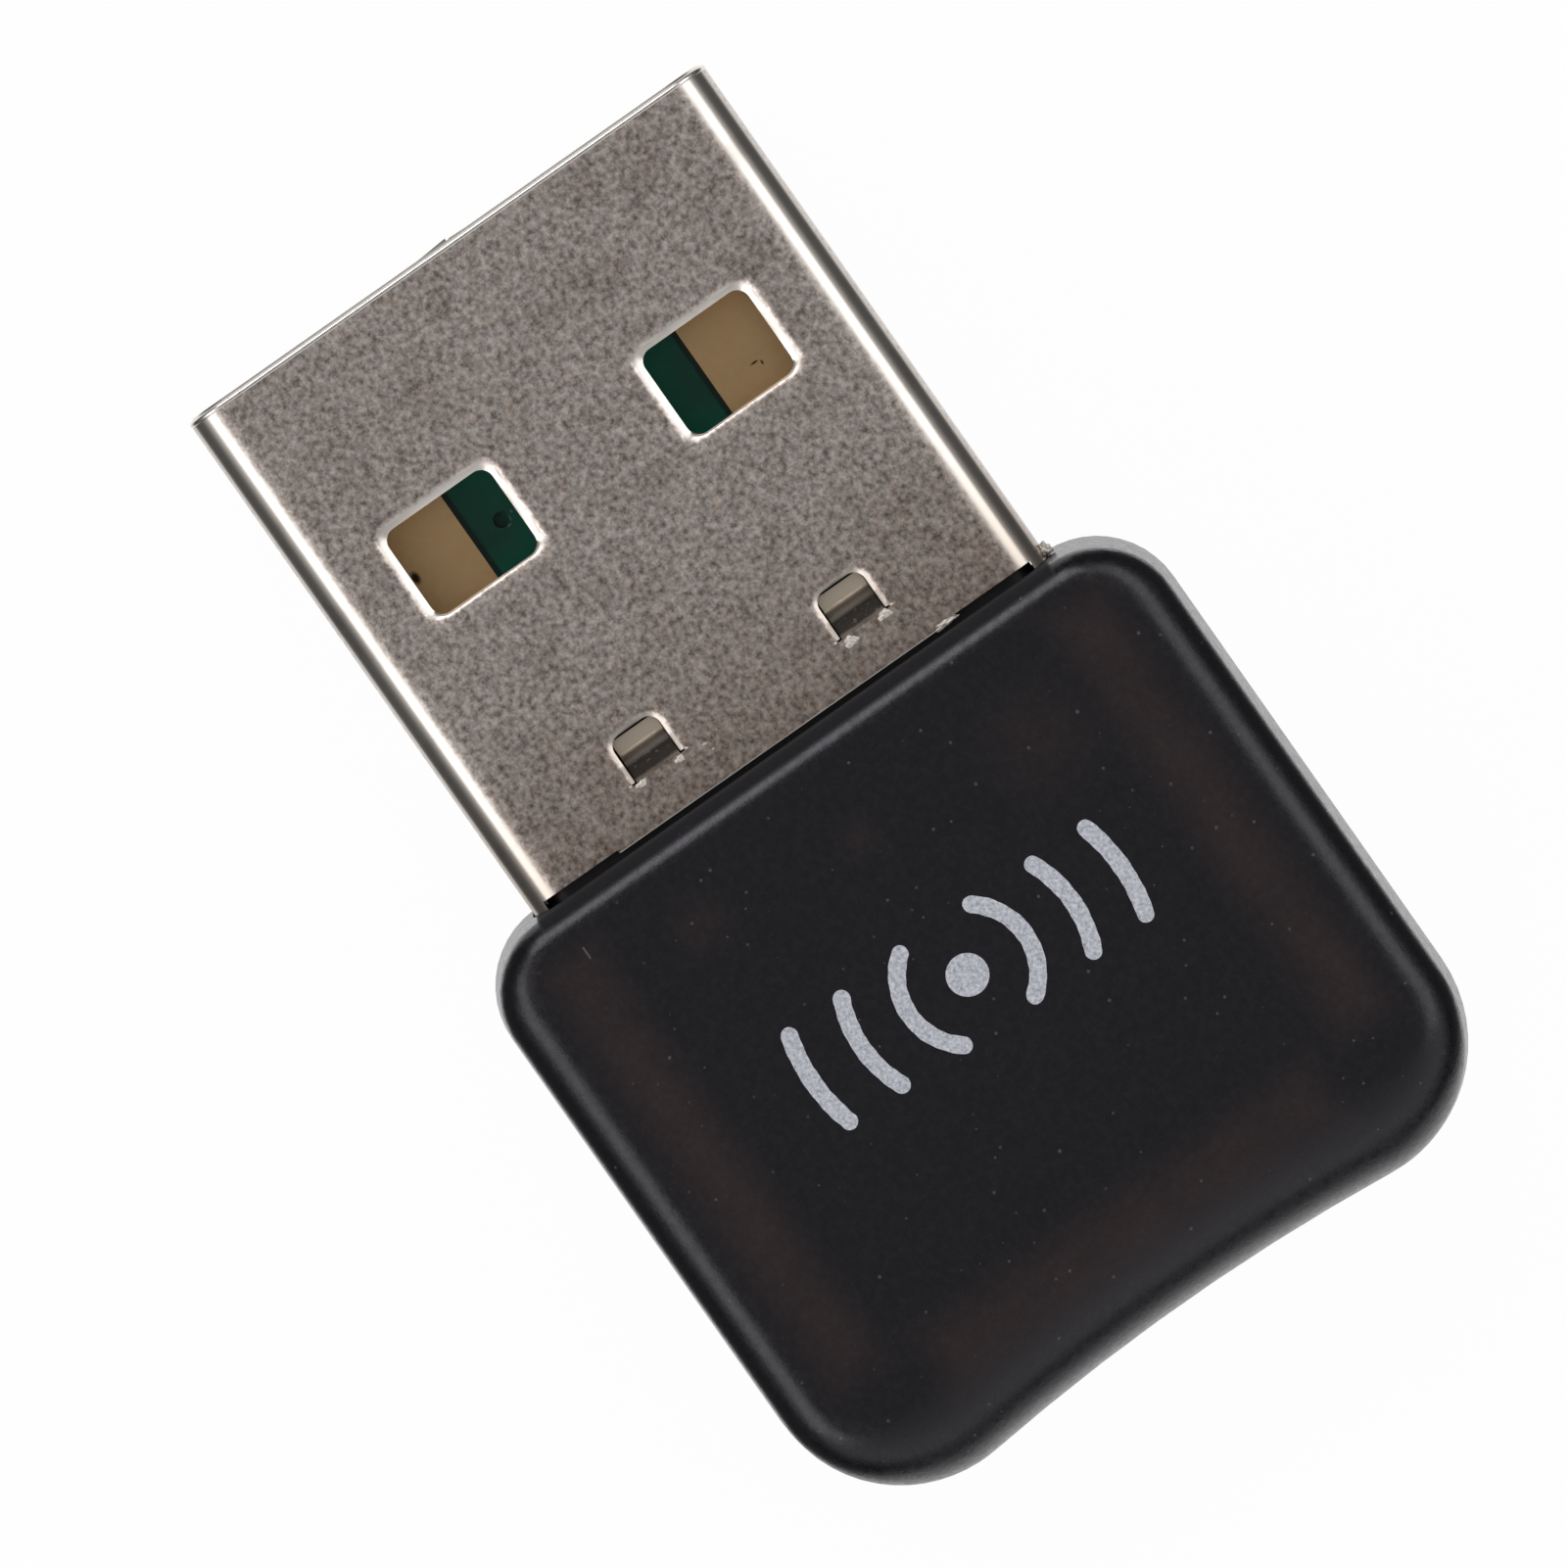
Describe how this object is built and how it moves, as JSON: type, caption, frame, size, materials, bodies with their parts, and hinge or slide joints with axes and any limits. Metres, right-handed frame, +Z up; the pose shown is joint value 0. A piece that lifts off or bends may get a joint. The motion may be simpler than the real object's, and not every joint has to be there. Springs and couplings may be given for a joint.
{
  "type": "usb bluetooth adapter",
  "caption": "Thumb-sized plug-in radio adapter: folded metal plug with latch windows and a short rounded black housing with a scooped end.",
  "frame": {"origin": "on the resting surface, under the middle of the whole adapter's box", "axes": "+X out of the plug's mouth, +Z up through the printed face, +Y to the left when looking along +X"},
  "size_m": [0.0252, 0.0156, 0.007],
  "materials": {
    "housing_plastic": "gloss black, slightly see-through where it is thin",
    "plated_steel": "nickel plate with a fine matt grain",
    "tray_plastic": "matt black moulding",
    "board_mask": "dark green solder mask, satin",
    "gold_plating": "flash gold over copper",
    "chip_moulding": "matt black epoxy moulding",
    "can_metal": "plated lid, satin",
    "ferrite": "dark grey moulded ferrite, matt",
    "ceramic_chip": "tan ceramic with tinned ends",
    "resistor_chip": "black coated ceramic with tinned ends",
    "solder": "bright tin solder"
  },
  "bodies": {
    "root": {"housing_top": "housing_plastic", "housing_bottom": "housing_plastic", "usb_shell": "plated_steel", "contact_carrier": "tray_plastic", "circuit_board": "board_mask", "contact_power": "gold_plating", "contact_data_minus": "gold_plating", "contact_data_plus": "gold_plating", "contact_ground": "gold_plating", "radio_chip": "chip_moulding", "memory_chip": "chip_moulding", "crystal_can": "can_metal", "supply_inductor": "ferrite", "supply_capacitors": "ceramic_chip", "crystal_capacitors": "ceramic_chip", "matching_parts": "ceramic_chip", "series_resistors": "resistor_chip", "antenna_trace": "gold_plating", "shell_solder": "solder"}
  },
  "joints": []
}
